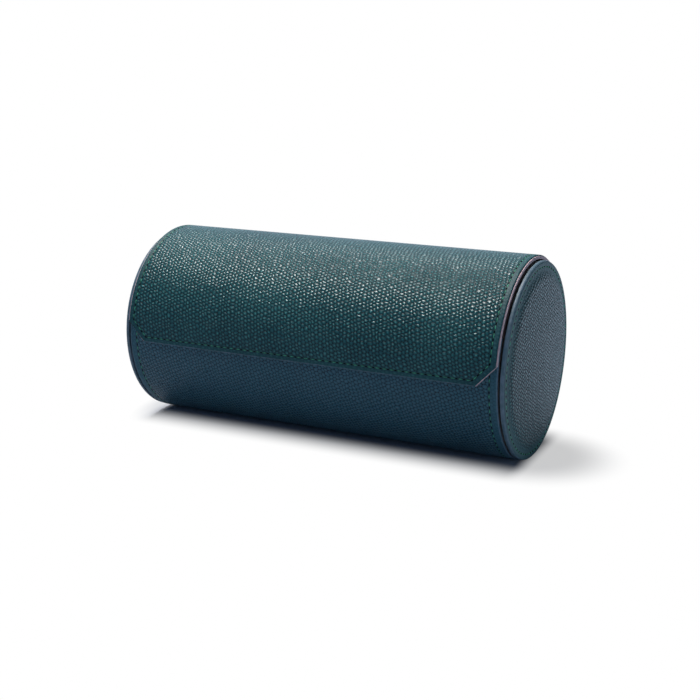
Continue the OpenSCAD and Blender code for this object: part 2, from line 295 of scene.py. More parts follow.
def joined(objects, name):
    """Joins objects into one."""
    take_up(objects[0])
    for obj in objects:
        obj.select_set(True)
    bpy.ops.object.join()
    return finish_mesh(bpy.context.active_object, name)


def scrap(*objects):
    """Removes construction objects."""
    for obj in objects:
        bpy.data.objects.remove(obj)


def trace(points):
    """Draws a chain of edges through points, from a primitive drawn together to one vertex."""
    obj = added(bpy.ops.mesh.primitive_plane_add, size=1 * MM)
    with editing(obj):
        bpy.ops.mesh.merge(type="CENTER")
        bpy.ops.transform.translate(value=points[0])
        for start, end in zip(points, points[1:]):
            bpy.ops.mesh.extrude_vertices_move(TRANSFORM_OT_translate={"value": end - start})
    return obj


def shares(count):
    """The shares from 0 to 1 in even steps."""
    return [step / count for step in range(count + 1)]


def radius_at(point):
    """Distance of a point from the case's axis."""
    return math.hypot(point.y, point.z - AXIS_H)


def press_flat(obj):
    """Flattens the bottom of a round piece, every layer by as much as the case's flat asks."""
    for vertex in obj.data.vertices:
        low = max(CASE_R - radius_at(vertex.co), 0)
        vertex.co.z = max(vertex.co.z, low)
    obj.data.update()


# ---- Flat sheets and how they are rolled ----


class Side:
    """One straight side of a flat sheet: a point on it and its outward direction.

    A side with near cuts only the faces that lie nearer to its point than this.
    """

    def __init__(self, x, z, out_x, out_z, near=None):
        size = math.hypot(out_x, out_z)
        self.x, self.z = x, z
        self.out_x, self.out_z = out_x / size, out_z / size
        self.near = near

    def inset(self, x, z):
        """How far a point lies inside this side."""
        return (self.x - x) * self.out_x + (self.z - z) * self.out_z

    def cut(self, obj, inset, clear=False):
        """Cuts a line into the sheet, parallel to this side, and may clear what lies beyond it."""
        if self.near:
            middle = Vector((self.x, 0, self.z))
            pick(obj, "FACE", lambda face: (middle - face.center).length < self.near)
        else:
            bpy.ops.mesh.select_all(action="SELECT")
        bpy.ops.mesh.bisect(
            plane_co=(self.x - inset * self.out_x, 0, self.z - inset * self.out_z),
            plane_no=(self.out_x, 0, self.out_z),
            clear_outer=clear,
        )


def rectangle(half, low, high):
    """The four sides of a sheet between two heights."""
    return [Side(-half, 0, -1, 0), Side(half, 0, 1, 0), Side(0, low, 0, -1), Side(0, high, 0, 1)]


def inset_in(sides, x, z):
    """How far a point lies inside an outline."""
    return min(side.inset(x, z) for side in sides)


def corner_sides(half, front, sizes):
    """The slanted sides where the lid's two front corners are cut off."""
    reach = 2 * (sizes.corner_x + sizes.corner_z)
    return [Side(side * (half - sizes.corner_x), front,
                 side * sizes.corner_z, -sizes.corner_x, near=reach) for side in SIDES]


def flat_sheet(sides, row_height, line_insets, rows_at=()):
    """Adds a sheet inside these sides, facing the front, with lines cut at distances from them."""
    half, low, high = sides[1].x, sides[2].z, sides[3].z
    sheet = added(bpy.ops.mesh.primitive_grid_add, location=(0, 0, (low + high) / 2),
                  rotation=(math.pi / 2, 0, 0), size=1, x_subdivisions=SHEET_COLUMNS,
                  y_subdivisions=round((high - low) / row_height))
    sheet.scale = (2 * half, high - low, 1)
    apply_place()
    with editing(sheet):
        for side in sides[4:]:
            side.cut(sheet, 0, clear=True)
        for side in sides:
            for inset in line_insets:
                side.cut(sheet, inset)
        for z in rows_at:
            bpy.ops.mesh.select_all(action="SELECT")
            bpy.ops.mesh.bisect(plane_co=(0, 0, z), plane_no=(0, 0, 1))
    return sheet


def seam_lines(sizes, stitch_in):
    """The lines cut into a leather sheet: its turned edge, its seam and the slopes beside it."""
    return (sizes.turned_edge, stitch_in - SEAM_WING, stitch_in, stitch_in + SEAM_WING,
            stitch_in + 4 * SEAM_WING)


def thicken(sheet, thickness):
    """Gives a flat sheet its thickness, inwards from its outer face at y = 0."""
    apply_modifier(sheet, "SOLIDIFY", thickness=thickness, offset=-1, use_even_offset=True)


def turn_edges(sheet, depth, in_band):
    """Turns a band of a face over a board's edge: inwards, or outwards with a negative depth."""
    way = math.copysign(1, depth)
    with editing(sheet):
        pick(sheet, "FACE", lambda face: (
            face.normal.y * way > FACING and in_band(face.center.x, face.center.z)))
        bpy.ops.mesh.extrude_region_move(TRANSFORM_OT_translate={"value": (0, depth, 0)})


def draw_in_seam(sheet, sides, stitch_in, dip):
    """Draws the outer face in along the stitch line beside these sides."""
    with editing(sheet):
        pick(sheet, "VERT", lambda vertex: vertex.co.y < TINY and abs(
            inset_in(sides, vertex.co.x, vertex.co.z) - stitch_in) < TINY)
        bpy.ops.transform.translate(value=(0, dip, 0))


def round_rim(sheet, sides, radius, segments=3, depth=0):
    """Rounds the outer face's edge, or that of the face at this depth, all the way round."""
    def on_rim(edge):
        ends = [sheet.data.vertices[index].co for index in edge.vertices]
        return all(abs(end.y - depth) < TINY and abs(inset_in(sides, end.x, end.z)) < TINY
                   for end in ends)
    with editing(sheet):
        pick(sheet, "EDGE", on_rim)
        bpy.ops.mesh.bevel(offset=radius, segments=segments, affect="EDGES", clamp_overlap=False)


def write_map(obj, place, inset=lambda co: INNER_INSET):
    """Stores the unrolled map, in metres, and each point's distance from the edge."""
    mesh = obj.data
    layer = mesh.uv_layers[0] if mesh.uv_layers else mesh.uv_layers.new()
    layer.name = "unrolled"
    for loop in mesh.loops:
        layer.data[loop.index].uv = place(mesh.vertices[loop.vertex_index].co)
    distances = mesh.attributes.new("inset", "FLOAT", "POINT")
    for vertex in mesh.vertices:
        distances.data[vertex.index].value = inset(vertex.co)


def map_sheet(sheet, sides):
    """Maps a flat sheet as it was cut."""
    write_map(sheet, lambda co: (co.x, co.z), lambda co: inset_in(sides, co.x, co.z))


def roll(obj, radius):
    """Rolls a flat piece round the case's axis, its y = 0 face to this radius."""
    heights = [vertex.co.z for vertex in obj.data.vertices]
    apply_modifier(obj, "SIMPLE_DEFORM", deform_method="BEND", deform_axis="X",
                   angle=(max(heights) - min(heights)) / radius)
    with editing(obj):
        bpy.ops.transform.translate(value=(0, -radius, AXIS_H))


# ---- Stitching ----


def thread_stitch(sizes):
    """One stitch: a short length of thread whose ends go down into the needle holes."""
    radius = sizes.thread / 2
    straight = (sizes.stitch_pitch - sizes.hole) / 2 - 0.7 * radius
    end_depth, middle_depth = 0.9 * radius, 0.1 * radius
    stitch = added(bpy.ops.mesh.primitive_uv_sphere_add, segments=8, ring_count=6, radius=radius,
                   rotation=(0, math.pi / 2, 0))
    apply_place()
    with editing(stitch):
        for side in SIDES:
            pick(stitch, "VERT", lambda vertex: side * vertex.co.x > TINY)
            bpy.ops.transform.translate(value=(side * straight, end_depth, 0))
        pick(stitch, "VERT", lambda vertex: abs(vertex.co.x) < TINY)
        bpy.ops.transform.translate(value=(0, middle_depth, 0))
    return stitch


def needle_hole(sizes):
    """One needle hole: a low dimple, a little wider than the needle, whose near-black colour is
    painted shade for the hole.
    """
    hole = added(bpy.ops.mesh.primitive_uv_sphere_add, segments=8, ring_count=4,
                 radius=sizes.hole / 2, rotation=(math.pi / 2, 0, 0))
    apply_place()
    with editing(hole):
        bpy.ops.transform.resize(value=(1, 0.3, 0.8))
    return hole


def stitch_row(seed, start, end, pitch, at_holes):
    """Repeats a stitch or a needle hole along a straight line on a flat sheet."""
    run_x, run_z = end[0] - start[0], end[1] - start[1]
    run = math.hypot(run_x, run_z)
    count = max(round(run / pitch), 1)
    step_x, step_z = run_x / count, run_z / count
    shift = 0 if at_holes else 0.5
    row = copy_of(seed)
    row.rotation_euler = (0, -math.atan2(run_z, run_x), 0)
    row.location = (start[0] + shift * step_x, 0, start[1] + shift * step_z)
    apply_place()
    apply_modifier(row, "ARRAY", count=count + at_holes, use_relative_offset=False,
                   use_constant_offset=True, constant_offset_displace=(step_x, 0, step_z))
    return row


def stitching_kinds(finish):
    """The kinds of stitching: name, model, look, and whether they sit at the needle holes."""
    return (("threads", thread_stitch, material("emerald_thread", waxed_thread, finish), False),
            ("needle_holes", needle_hole, material("needle_hole", hole_shade, finish), True))


def sewn(context, name, lines, radius):
    """Sews along several lines on a flat sheet, and rolls each piece round the case like it."""
    sizes, finish = case_settings(context)
    for kind, seed_of, look, at_holes in stitching_kinds(finish):
        seed = seed_of(sizes)
        rows = [stitch_row(seed, *line, sizes.stitch_pitch, at_holes) for line in lines]
        scrap(seed)
        piece = joined(rows, f"{name}_{kind}")
        with editing(piece):
            bpy.ops.transform.translate(value=(0, sizes.seam_dip, 0))
        roll(piece, radius)
        press_flat(piece)
        yield dress(finish_mesh(piece, piece.name, FINE_SMOOTH), look)


# ---- Materials ----


MOST = (0.3, 0.7)  # the range in which most of a noise texture lies
MIDDLE = (0.35, 0.65)  # its middle, for more contrast
COOL_WHITE = (0.66, 0.8, 1.0)


class Weave:
    """The node tree of a material or a world, with short ways to add and join its nodes."""

    def __init__(self, owner):
        owner.use_nodes = True
        self.owner = owner
        self.tree = owner.node_tree
        self.shader = self.tree.nodes.get("Principled BSDF") or self.tree.nodes["Background"]

    def node(self, kind, inputs=(), **settings):
        """Adds a node. Inputs are given by name or number, as values or as sockets."""
        made = self.tree.nodes.new(kind)
        for setting, value in settings.items():
            setattr(made, setting, value)
        for key, value in dict(inputs).items():
            self.feed(made.inputs[key], value)
        return made

    def feed(self, socket, value):
        """Sets a socket to a value or links it."""
        if isinstance(value, bpy.types.NodeSocket):
            self.tree.links.new(value, socket)
        else:
            socket.default_value = value

    def surface(self, **inputs):
        """Feeds the shader's own sockets, with an underscore for each space in a name."""
        for key, value in inputs.items():
            self.feed(self.shader.inputs[key.replace("_", " ")], value)

    def maths(self, operation, first, second=0.0):
        """Works out one number."""
        return self.node("ShaderNodeMath", {0: first, 1: second}, operation=operation).outputs[0]

    def times(self, first, second):
        """Multiplies two numbers."""
        return self.maths("MULTIPLY", first, second)

    def ramp(self, value, low, high, start=0.0, end=1.0):
        """Turns the range from low to high smoothly into the range from start to end."""
        inputs = {"Value": value, "From Min": low, "From Max": high, "To Min": start, "To Max": end}
        return self.node("ShaderNodeMapRange", inputs, interpolation_type="SMOOTHSTEP").outputs[0]

    def blend(self, factor, first, second):
        """Mixes two colours."""
        first, second = (value if isinstance(value, bpy.types.NodeSocket) else (*value, 1)
                         for value in (first, second))
        inputs = {0: factor, 6: first, 7: second}
        return self.node("ShaderNodeMix", inputs, data_type="RGBA").outputs[2]

    def object_place(self):
        """Object coordinates, in metres."""
        return self.node("ShaderNodeTexCoord").outputs["Object"]

    def vector(self, operation, first, *others, output="Vector"):
        """Works out one vector, or its length."""
        inputs = {0: first, **{place: value for place, value in enumerate(others, 1)}}
        return self.node("ShaderNodeVectorMath", inputs, operation=operation).outputs[output]

    def inset(self):
        """A piece's stored distance from its edge."""
        return self.node("ShaderNodeAttribute", attribute_name="inset").outputs["Fac"]

    def off_middle(self, cells):
        """Distance from the middle of the nearest cell, with the cells packed as in a honeycomb."""
        tall = math.sqrt(3)
        found = []
        for shift in ((0, 0, 0), (0.5, tall / 2, 0)):
            moved = self.vector("DIVIDE", self.vector("ADD", cells, shift), (1, tall, 1))
            centred = self.vector("SUBTRACT", self.vector("FRACTION", moved), (0.5, 0.5, 0))
            from_middle = self.vector("MULTIPLY", centred, (1, tall, 0))
            found.append(self.vector("LENGTH", from_middle, output="Value"))
        return self.maths("MINIMUM", *found)

    def noise(self, vector, scale, detail=2.0, output="Fac"):
        """A noise texture with this many lumps to the metre."""
        inputs = {"Vector": vector, "Scale": scale, "Detail": detail}
        return self.node("ShaderNodeTexNoise", inputs).outputs[output]

    def seen(self, behind=1.0):
        """One for rays from the camera, and for other straight rays as far as they look behind."""
        path = self.node("ShaderNodeLightPath").outputs
        mirrored = self.maths("MAXIMUM", path["Is Glossy Ray"], path["Is Transmission Ray"])
        return self.maths("MAXIMUM", path["Is Camera Ray"], self.times(mirrored, behind))

    def studio_white(self):
        """White to the camera, and a cool paler tone in the case's own reflections."""
        return self.blend(self.node("ShaderNodeLightPath").outputs["Is Camera Ray"],
                          COOL_WHITE, (1, 1, 1))

    def bump(self, height, distance):
        """Raises the surface by up to this distance."""
        inputs = {"Height": height, "Distance": distance, "Strength": 1.0}
        self.surface(Normal=self.node("ShaderNodeBump", inputs).outputs[0])


def material(name, make, *settings, **options):
    """A material by name, made the first time that a piece asks for it."""
    if name not in bpy.data.materials:
        make(Weave(bpy.data.materials.new(name)), *settings, **options)
    return bpy.data.materials[name]


def toned(shade, factor):
    """A colour made darker or lighter."""
    return tuple(min(factor * value, 1) for value in shade)


# Distances from the middle of a pebble, in pebbles: 0 is its top and 0.58 its furthest corner.
DOME = (0.02, 0.57)
# From the middle out to here, a pebble's top is painted paler, as a painted highlight.
TIP_HIGHLIGHT_REACH = (0.04, 0.3)
# What noise leaves of each pebble's height, of the painted highlight on its top and of the painted
# highlight along the edge, from the least to the whole.
DOME_HEIGHTS = (0.65, 1.0)
TIP_HIGHLIGHT_SHARES = (0.2, 1.0)
EDGE_SHARES = (0.5, 1.0)
# Where the painted highlight along the edge and the painted shade beside the seam begin and end,
# off the edge or off the seam, and their share at both.
EDGE_HIGHLIGHT = (0.3 * MM, 0.7 * MM, 0.85, 0.0)
SEAM_SHADE = (0.2 * MM, 0.6 * MM, 0.7, 0.0)
# Lumps to the metre in how the rows wander, in the edge's wear, in the pores and in the clouds.
WANDER, WEAR, PORES, CLOUDS = 210, 420, 2600, 26
DRIFT = 2.5 * MM  # how far the rows of pebbles wander
GRAIN_SLANT = math.radians(-27)
PORE_HEIGHT = 0.1  # as a share of a pebble's height
CLOUD_SHARE = 0.14  # of the tips' colour in the paler clouds
LEATHER_ROUGH = (0.3, 0.6)  # on the pebbles and in the pits
MARGIN_ROUGH = 0.24  # what smooth leather near the edge has on top of that
# The other surfaces: lumps to the metre, and the height of their relief.
NAP, NAP_HEIGHT = 1500, 0.25 * MM
TWISTS, TWIST_HEIGHT = 2200, 0.1 * MM
FIBRES, FIBRE_HEIGHT = 900, 0.08 * MM
FOAM_CELLS, CELL_HEIGHT = 1100.0, 0.3 * MM
SUEDE_PATCHES, HOLE_FRAYS, SCRATCHES = 70, 3000, 1800
PATCH_SHARE = 0.35  # of the even colour in the suede's patches
SUEDE_CUT = (0.6 * MM, 1.2 * MM, 0.9, 0.0)  # the paler cut edge, partly a painted highlight, laid out as for the leather's edge
STEEL_ROUGH = (0.22, 0.4)  # between the scratches and in them


def grained_leather(weave, sizes, finish, grain_from, grain_to, seam_in, hue, tip_highlight, margin=0.3,
                    crack=(0.39, 0.55), relief=1.0, gloss=0.36):
    """Pebbled leather with painted highlights along its edge and on its pebbles' tops, and painted
    shade in its pits and beside its seam.

    From grain_from to grain_to inside the edge, the grain grows from the share margin to the
    whole. The pits between the pebbles begin and end at crack from a pebble's middle.
    """
    flat = weave.node("ShaderNodeUVMap", uv_map="unrolled").outputs[0]
    inset = weave.inset()
    place = weave.object_place()

    drift = weave.vector("SUBTRACT", weave.noise(flat, WANDER, 1.5, "Color"), (0.5, 0.5, 0.5))
    moved = weave.vector("MULTIPLY_ADD", drift, (DRIFT, DRIFT, DRIFT), flat)
    turned = {"Vector": moved, "Rotation": (0, 0, GRAIN_SLANT),
              "Scale": (sizes.pebble_x, sizes.pebble_z, 1)}
    cells = weave.node("ShaderNodeMapping", turned, vector_type="TEXTURE").outputs[0]
    off_tip = weave.off_middle(cells)
    own = weave.noise(cells, 0.9, 0.0)

    grain = weave.ramp(inset, grain_from, grain_to, margin, 1.0)
    dome = weave.times(weave.ramp(off_tip, *DOME, 1.0, 0.0), weave.ramp(own, *MOST, *DOME_HEIGHTS))
    pores = weave.times(weave.noise(place, PORES, 3.0), PORE_HEIGHT)
    weave.bump(weave.maths("ADD", weave.times(dome, grain), pores), sizes.pebble_depth * relief)

    # Painted shade: the pits between the pebbles are darkened towards the crease colour, for the
    # shade that falls in them; they are rougher too.
    pit = weave.times(weave.ramp(off_tip, *crack), grain)
    clouds = weave.ramp(weave.noise(place, CLOUDS, 3.0), *MOST, 0.0, CLOUD_SHARE)
    # Painted highlight: each pebble's top is painted paler, by a share that varies from pebble to
    # pebble.
    painted = weave.times(weave.ramp(off_tip, *TIP_HIGHLIGHT_REACH, 1.0, 0.0),
                         weave.ramp(own, *MOST, *TIP_HIGHLIGHT_SHARES))
    # Painted highlight along the turned edge, broken up by noise.
    edge = weave.times(weave.ramp(inset, *EDGE_HIGHLIGHT),
                       weave.ramp(weave.noise(place, WEAR), *MOST, *EDGE_SHARES))
    # Painted shade beside the seam, where the thread draws the leather in.
    off_seam = weave.maths("ABSOLUTE", weave.maths("SUBTRACT", inset, seam_in))
    shade = weave.blend(clouds, hue, tip_highlight)
    for share, over in ((weave.times(painted, grain), tip_highlight), (pit, finish.crease_shade),
                        (edge, finish.edge), (weave.ramp(off_seam, *SEAM_SHADE), finish.crease_shade)):
        shade = weave.blend(share, shade, over)
    weave.surface(
        Base_Color=shade,
        Roughness=weave.maths("ADD", weave.ramp(pit, 0.0, 0.8, *LEATHER_ROUGH),
                              weave.ramp(inset, grain_from, grain_to, MARGIN_ROUGH, 0.0)),
        Specular_IOR_Level=gloss,
    )


def suede(weave, base, edge_colour):
    """Napped suede with soft cloudy patches and a paler cut edge, which in the lid's lining is
    partly a painted highlight.
    """
    place = weave.object_place()
    nap = weave.noise(place, NAP, 4.0)
    patches = weave.ramp(weave.noise(place, SUEDE_PATCHES, 3.0), *MIDDLE, 0.0, PATCH_SHARE)
    body = weave.blend(weave.ramp(nap, *MOST), toned(base, 0.5), toned(base, 1.45))
    cut = weave.ramp(weave.inset(), *SUEDE_CUT)
    weave.surface(
        Base_Color=weave.blend(cut, weave.blend(patches, body, base), edge_colour),
        Roughness=0.92,
        Specular_IOR_Level=0.2,
        Sheen_Weight=0.35,
        Sheen_Roughness=0.45,
    )
    weave.bump(nap, NAP_HEIGHT)


def waxed_thread(weave, finish):
    """Waxed emerald thread with darker twists."""
    twist = weave.noise(weave.object_place(), TWISTS)
    weave.surface(
        Base_Color=weave.blend(weave.ramp(twist, *MIDDLE), toned(finish.thread, 0.45),
                               finish.thread),
        Roughness=0.55,
        Sheen_Weight=0.2,
    )
    weave.bump(twist, TWIST_HEIGHT)


def hole_shade(weave, finish):
    """Painted shade inside the needle holes."""
    depth = weave.noise(weave.object_place(), HOLE_FRAYS, 1.0)
    weave.surface(
        Base_Color=weave.blend(depth, toned(finish.hole, 0.3), finish.hole),
        Roughness=1.0,
        Specular_IOR_Level=0.0,
    )


def grey_card(weave, finish):
    """Grey card with pressed fibres."""
    fibres = weave.noise(weave.object_place(), FIBRES, 5.0)
    weave.surface(
        Base_Color=weave.blend(weave.ramp(fibres, *MIDDLE), finish.board,
                               toned(finish.board, 1.2)),
        Roughness=0.9,
    )
    weave.bump(fibres, FIBRE_HEIGHT)


def open_foam(weave, finish):
    """Open foam with small cells."""
    inputs = {"Vector": weave.object_place(), "Scale": FOAM_CELLS}
    cells = weave.node("ShaderNodeTexVoronoi", inputs).outputs["Distance"]
    weave.surface(
        Base_Color=weave.blend(weave.ramp(cells, 0.1, 0.6), toned(finish.foam, 0.6),
                               finish.foam),
        Roughness=0.95,
    )
    weave.bump(cells, CELL_HEIGHT)


def plated_steel(weave, finish):
    """Plated steel with fine scratches."""
    scratches = weave.noise(weave.object_place(), SCRATCHES, 4.0)
    weave.surface(
        Base_Color=weave.blend(weave.ramp(scratches, *MOST), toned(finish.steel, 0.75),
                               finish.steel),
        Metallic=1.0,
        Roughness=weave.ramp(scratches, *MOST, *STEEL_ROUGH),
    )


def lid_leather(context):
    """The leather of the lid and the back panel."""
    sizes, finish = case_settings(context)
    seam_in = sizes.stitch_in
    return material("lid_grain", grained_leather, sizes, finish, seam_in + 0.3 * MM,
                    seam_in + 1.2 * MM, seam_in, finish.leather, finish.tip_highlight)


def body_leather(context):
    """The body's leather, painted bluer than the lid's for the cool light on it, with a wider
    margin.
    """
    sizes, finish = case_settings(context)
    seam_in = sizes.body_stitch_in
    return material("body_grain", grained_leather, sizes, finish, seam_in + 0.2 * MM,
                    seam_in + 1 * MM, seam_in, finish.body_leather, finish.body_tip_highlight)


def cap_leather(context):
    """The caps' leather, smooth at the rim, with its grain growing up the pad's slope."""
    sizes, finish = case_settings(context)
    seam_in = sizes.cap_seam_in
    return material("cap_grain", grained_leather, sizes, finish, seam_in + 1 * MM,
                    seam_in + sizes.pad_foot_in + sizes.pad_slope, seam_in, finish.leather,
                    finish.tip_highlight, margin=0.06, crack=(0.3, 0.52), relief=2.1, gloss=0.78)


def lining_suede(context):
    """The suede of the trough, the walls and the lid."""
    finish = context.scene.case_finish
    return material("lining_nap", suede, finish.suede, finish.suede_edge)


def dress(piece, look):
    """Puts a material on a piece."""
    piece.data.materials.clear()
    piece.data.materials.append(look)
    return piece


def stand_in(piece, name, look, slot, body, *nodes, smooth=35):
    """Finishes and dresses a piece, which rides on a body in place of these nodes."""
    dress(finish_mesh(piece, name, smooth), look)
    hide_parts(*nodes)
    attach(piece, body)


# ---- Lid ----


def lid_sides(sizes, half, front, back):
    """The outline of the lid, from its cut front corners to its back edge."""
    return rectangle(half, front, back) + corner_sides(half, front, sizes)


def bend_at_hinge(piece, sizes):
    """Puts a piece's place, turn and size into its mesh."""
    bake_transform(piece)


def make_lid_skin(context):
    """The lid's leather, which goes on past the hinge as the back panel."""
    sizes = context.scene.case_sizes
    back = (math.pi + sizes.panel_low) * LID_R
    sides = lid_sides(sizes, LID_HALF, LID_FRONT * LID_R, back)
    slit, turned = sizes.hinge_slit / 2, sizes.turned_edge
    rows_at = [HINGE_Z + offset for reach in (slit, slit + turned) for offset in (-reach, reach)]
    skin = flat_sheet(sides, LEATHER_ROW, seam_lines(sizes, sizes.stitch_in), rows_at)
    thicken(skin, sizes.lid_leather)
    draw_in_seam(skin, sides, sizes.stitch_in, sizes.seam_dip)

    def in_band(x, z):
        beside_slit = slit < abs(z - HINGE_Z) < slit + turned
        at_front = sides[2].inset(x, z) < turned and abs(x) < LID_HALF - sizes.corner_x
        on_panel = z > HINGE_Z and inset_in(sides, x, z) < turned
        return at_front or on_panel or beside_slit
    turn_edges(skin, LID_BOARD_OUT_R - LID_LINING_R, in_band)
    round_rim(skin, sides, sizes.edge_round)

    def from_edge(co):
        near = inset_in(sides, co.x, co.z)
        at_front = sides[2].inset(co.x, co.z) <= near
        return near if at_front else max(near, turned)
    write_map(skin, lambda co: (co.x, co.z), from_edge)
    roll(skin, LID_R)
    dress(finish_mesh(skin, "lid_skin"), lid_leather(context))
    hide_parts("lid_leather", "back_panel_leather")
    bend_at_hinge(skin, sizes)


def make_lid_suede(context):
    """The lid's lining, turned up over the board's edge along its sides and corners."""
    sizes = context.scene.case_sizes
    sides = lid_sides(sizes, LID_HALF + sizes.lining_lip, LID_FRONT * LID_LINING_R,
                      HINGE_ANGLE * LID_LINING_R - sizes.hinge_slit / 2)
    ends = sides[:2] + sides[4:]
    turned = sizes.turned_edge + sizes.lining_lip
    lining = flat_sheet(sides, SUEDE_ROW, (CUT_EDGE, turned))
    thicken(lining, sizes.lining)
    turn_edges(lining, LID_LINING_R - LID_BOARD_OUT_R, lambda x, z: inset_in(ends, x, z) < turned)
    map_sheet(lining, sides)
    roll(lining, LID_LINING_R)
    stand_in(lining, "lid_suede", lining_suede(context), "suede_lining", "lid", "lid_lining")


def lid_stitch_lines(sizes):
    """The stitch line on the lid and the back panel: two sides, two corners and the front."""
    front = LID_FRONT * LID_R
    side_x = LID_HALF - sizes.stitch_in
    front_z = front + sizes.stitch_in
    back_z = (math.pi + sizes.panel_low) * LID_R - sizes.stitch_in
    corner = corner_sides(LID_HALF, front, sizes)[1]
    corner_z = corner.z + (sizes.stitch_in - (corner.x - side_x) * corner.out_x) / -corner.out_z
    corner_x = corner.x - (sizes.stitch_in - (corner.z - front_z) * corner.out_z) / corner.out_x
    lines = [((-corner_x, front_z), (corner_x, front_z)), ((-side_x, back_z), (side_x, back_z))]
    for side in SIDES:
        lines.append(((side * corner_x, front_z), (side * side_x, corner_z)))
        lines.append(((side * side_x, corner_z), (side * side_x, back_z)))
    return lines


def make_lid_stitching(context):
    """Threads and needle holes on the lid and the back panel."""
    sizes = context.scene.case_sizes
    for piece in sewn(context, "lid", lid_stitch_lines(sizes), LID_R):
        bend_at_hinge(piece, sizes)


# ---- Body ----


def body_sides(half, radius):
    """The outline of a sheet that runs from the back edge under the case to the front edge."""
    return rectangle(half, (BODY_TOP + math.pi) * -radius, BODY_TOP * radius)


def make_body_skin(context):
    """The leather round the body, turned over at its front and back edges."""
    sizes = context.scene.case_sizes
    sides = body_sides(BODY_HALF, CASE_R)
    ends, edges = sides[:2], sides[2:]
    skin = flat_sheet(sides, LEATHER_ROW, seam_lines(sizes, sizes.body_stitch_in))
    with editing(skin):
        for side in ends:
            side.cut(skin, BODY_HALF - TROUGH_HALF)
    thicken(skin, sizes.body_leather)
    draw_in_seam(skin, ends, sizes.body_stitch_in, sizes.seam_dip)
    turn_edges(skin, BOARD_R - LINING_R, lambda x, z: (
        abs(x) < TROUGH_HALF and inset_in(edges, x, z) < sizes.turned_edge))
    round_rim(skin, sides, sizes.edge_round)
    map_sheet(skin, sides)
    roll(skin, CASE_R)
    press_flat(skin)
    stand_in(skin, "body_skin", body_leather(context), "grained_leather", "case", "body_leather")


def make_body_stitching(context):
    """Threads and needle holes along the two ends of the body."""
    sizes = context.scene.case_sizes
    low, high = (side.z for side in body_sides(BODY_HALF, CASE_R)[2:])
    x, margin = BODY_HALF - sizes.body_stitch_in, sizes.stitch_in
    lines = [((side * x, low + margin), (side * x, high - margin)) for side in SIDES]
    for piece in sewn(context, "body", lines, CASE_R):
        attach(piece, "case")


def make_body_suede(context):
    """The lining of the trough."""
    sides = body_sides(TROUGH_HALF, LINING_R)
    lining = flat_sheet(sides, SUEDE_ROW, (CUT_EDGE, 0.6 * MM))
    thicken(lining, LINING_R - TROUGH_R)
    round_rim(lining, sides, 0.2 * MM, segments=2, depth=LINING_R - TROUGH_R)
    map_sheet(lining, sides)
    roll(lining, LINING_R)
    press_flat(lining)
    stand_in(lining, "trough_suede", lining_suede(context), "suede_lining", "case", "body_lining")


# ---- End walls and dividers ----


def disc(x0, x1, radius, rounding, open_end=0):
    """A disc across the case with soft edges, flat below. An open end loses its face."""
    made = added(bpy.ops.mesh.primitive_cylinder_add, location=((x0 + x1) / 2, 0, AXIS_H),
                 rotation=(0, math.pi / 2, 0), vertices=DISC_SIDES, radius=radius, depth=x1 - x0)
    apply_place()
    with editing(made):
        if open_end:
            pick(made, "FACE", lambda face: face.normal.x * open_end > FACING)
            bpy.ops.mesh.delete(type="FACE")
        pick(made, "FACE", lambda face: abs(face.normal.x) > FACING)
        bpy.ops.mesh.bevel(offset=rounding, segments=4, affect="EDGES")
        for _ in range(2):
            pick(made, "FACE", lambda face: abs(face.normal.x) > 0.99)
            bpy.ops.mesh.inset(thickness=0.4 * radius)
    press_flat(made)
    return made


def cover_wall(context, cover, name, node):
    """Dresses the suede over a wall, in place of its node."""
    write_map(cover, lambda co: (co.y, co.z))
    stand_in(cover, name, lining_suede(context), "suede_lining", "case", node)


def make_wall_suede(context, side):
    """The suede over one end wall, whose rim shows between the lid and the cap."""
    sizes = context.scene.case_sizes
    inner, outer = sorted((side * TROUGH_HALF, side * BODY_HALF))
    wall = disc(inner, outer, BOARD_R, 0.3 * MM, open_end=side)
    apply_modifier(wall, "SOLIDIFY", thickness=0.75 * sizes.body_leather, offset=-1,
                   use_even_offset=True)
    cover_wall(context, wall, f"end_wall_suede_{SIDES[side]}", f"end_suede_{SIDES[side]}")


def make_divider(context, side):
    """The suede over one divider."""
    node = f"divider_suede_{SIDES[side]}"
    low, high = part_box(node)
    divider = disc(low.x, high.x, TROUGH_R, 0.9 * MM)
    cover_wall(context, divider, f"divider_cover_{SIDES[side]}", node)


# ---- Caps ----


def cap_profile(sizes):
    """Heights above the inner face and radii, from the middle of the pad round to behind."""
    rim, rise = sizes.cap_rim, sizes.pad_rise
    seam_r = CAP_R - sizes.cap_seam_in
    foot_r = seam_r - sizes.pad_foot_in
    top_r = foot_r - sizes.pad_slope
    crown = CAP_TOP_X - CAP_X - rim - rise
    points = [(rim + rise + crown * (1 - share ** 2), top_r * share) for share in shares(10)]
    for share in reversed(shares(8)[:-1]):
        points.append((rim + rise * share * share * (3 - 2 * share),
                       foot_r - sizes.pad_slope * share))
    points += [(rim, seam_r - SEAM_WING), (rim - sizes.cap_seam_dip, seam_r),
               (rim, seam_r + SEAM_WING)]
    for share in shares(6):
        angle = math.pi / 2 * (1 - share)
        points.append((rim - sizes.cap_round * (1 - math.sin(angle)),
                       CAP_R - sizes.cap_round * (1 - math.cos(angle))))
    back_round = 0.3 * MM
    points += [(back_round, CAP_R), (0, CAP_R - back_round), (0, CAP_R - sizes.cap_turn_in)]
    return points


